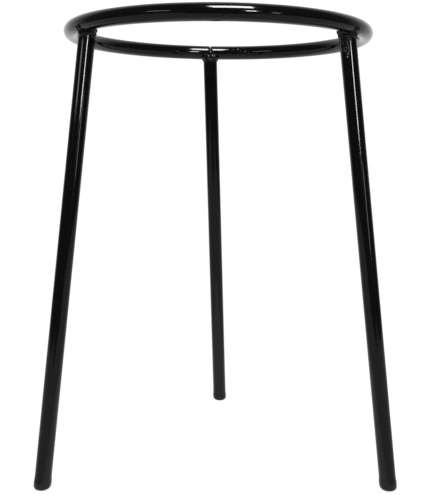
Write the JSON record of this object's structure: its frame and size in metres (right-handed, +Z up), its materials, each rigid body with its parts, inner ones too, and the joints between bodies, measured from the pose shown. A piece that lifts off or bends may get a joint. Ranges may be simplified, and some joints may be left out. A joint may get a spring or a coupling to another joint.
{
  "type": "laboratory tripod stand",
  "caption": "Round steel bar ring on splayed round bar legs, welded and black enamelled, that holds a flask, beaker or gauze above a burner.",
  "frame": {"origin": "on the bench, on the axis of the ring", "axes": "+Z up along the ring's axis, -Y to the front between the two front legs, +X to the right, the third leg behind at +Y"},
  "size_m": [0.1787, 0.1812, 0.2286],
  "materials": {
    "enamel": "gloss black enamel on round steel bar",
    "weld_enamel": "gloss black enamel over a rippled weld bead"
  },
  "bodies": {
    "root": {"ring": "enamel", "ring_joint_weld": "weld_enamel", "leg_left": "enamel", "leg_right": "enamel", "leg_rear": "enamel", "weld_left": "weld_enamel", "weld_right": "weld_enamel", "weld_rear": "weld_enamel"}
  },
  "joints": []
}
